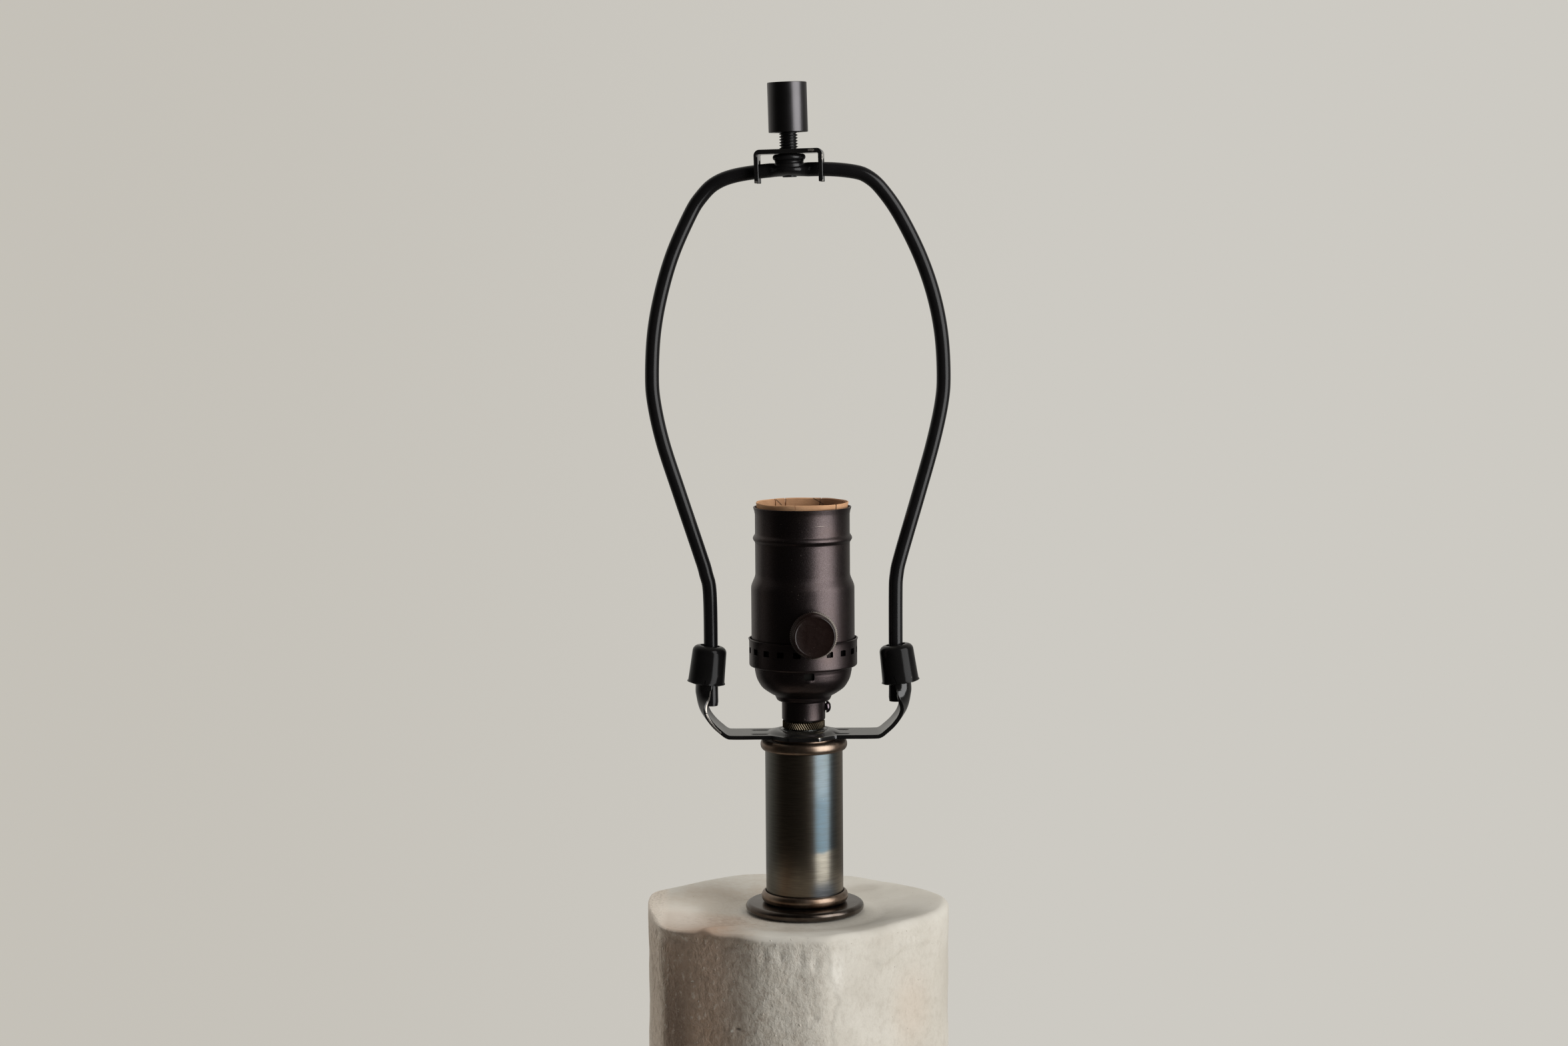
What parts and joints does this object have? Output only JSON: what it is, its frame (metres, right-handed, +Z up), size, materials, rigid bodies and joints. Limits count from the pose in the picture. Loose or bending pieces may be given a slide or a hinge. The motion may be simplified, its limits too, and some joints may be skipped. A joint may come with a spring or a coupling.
{
  "type": "table lamp base",
  "caption": "Table lamp without its shade: tall hollow ceramic body, metal neck, turn-switch lamp holder, lift-off wire harp with shade rest and screw-down finial.",
  "frame": {"origin": "middle of the felt pad's underside, on the lamp's axis", "axes": "+Z up along the threaded pipe, +X to the right as seen from the switch knob's side, +Y to the back, where the lead's bushing is"},
  "size_m": [0.1034, 0.0961, 0.5767],
  "materials": {
    "clay": "matte, hand-built, with a thin pale slip",
    "felt": "pressed felt",
    "zinc_steel": "zinc plated",
    "black_rubber": "moulded, matt",
    "dark_bronze": "satin dark bronze",
    "satin_bronze": "satin bronze",
    "patina_steel": "blackened and waxed",
    "gloss_black": "gloss black, dusty",
    "satin_black": "satin black",
    "aged_brass": "aged",
    "brown_paint": "satin brown-bronze",
    "knob_plastic": "moulded dark brown",
    "card": "bare card",
    "phenolic": "moulded phenolic",
    "brass": "bright",
    "nickel": "nickel plated"
  },
  "bodies": {
    "lamp_body": {"felt_pad": "felt", "ceramic_body": "clay", "cord_bushing": "black_rubber", "base_plate": "zinc_steel", "pipe_washer": "zinc_steel", "pipe_hex_nut": "zinc_steel", "threaded_pipe": "zinc_steel", "base_flange": "dark_bronze", "lower_check_ring": "satin_bronze", "neck_tube": "patina_steel", "upper_check_ring": "satin_bronze", "harp_saddle": "gloss_black", "knurled_locknut": "aged_brass", "socket_cap": "brown_paint", "cap_set_screw": "brown_paint", "cap_liner": "card", "socket_shell": "brown_paint", "paper_insulator": "card", "socket_interior": "phenolic", "terminal_screw_live": "brass", "terminal_screw_neutral": "nickel", "screw_shell": "brass"},
    "harp": {"harp_wire": "satin_black", "harp_stud": "satin_black", "shade_rest": "gloss_black"},
    "ferrule_left": {"ferrule_left": "gloss_black"},
    "ferrule_right": {"ferrule_right": "gloss_black"},
    "finial_carrier": {"finial_bush": "brass"},
    "finial": {"finial": "satin_black"},
    "switch": {"switch_knob": "knob_plastic", "switch_stem": "aged_brass", "switch_rotor": "phenolic"},
    "contact": {"centre_contact": "brass"}
  },
  "joints": [
    {"name": "harp_lift", "type": "slide", "parent": "lamp_body", "child": "harp", "axis": [0, 0, 1], "range_m": [0, 0.08]},
    {"name": "ferrule_left_slide", "type": "slide", "parent": "harp", "child": "ferrule_left", "axis": [0, 0, 1], "range_m": [0, 0.015]},
    {"name": "ferrule_right_slide", "type": "slide", "parent": "harp", "child": "ferrule_right", "axis": [0, 0, 1], "range_m": [0, 0.015]},
    {"name": "finial_travel", "type": "slide", "parent": "harp", "child": "finial_carrier", "axis": [-0.0244, 0, 0.9997], "range_m": [-0.0053, 0.0073]},
    {"name": "finial_turn", "type": "hinge", "parent": "finial_carrier", "child": "finial", "pos_m": [-0.00343, 0, 0.548], "axis": [-0.0244, 0, 0.9997], "range_deg": [-2020, 2790]},
    {"name": "switch_turn", "type": "hinge", "parent": "lamp_body", "child": "switch", "pos_m": [0.0023, 0, 0.3962], "axis": [0.0523, -0.9986, 0], "continuous": true},
    {"name": "contact_press", "type": "hinge", "parent": "lamp_body", "child": "contact", "pos_m": [0.0082, 0, 0.4039], "axis": [0, -1, 0], "range_deg": [0, 14], "stiffness_Nm_per_rad": 0.05}
  ],
  "couplings": [
    {"joint": "finial_travel", "follows": "finial_turn", "m_per_rad": 0.00014972}
  ]
}
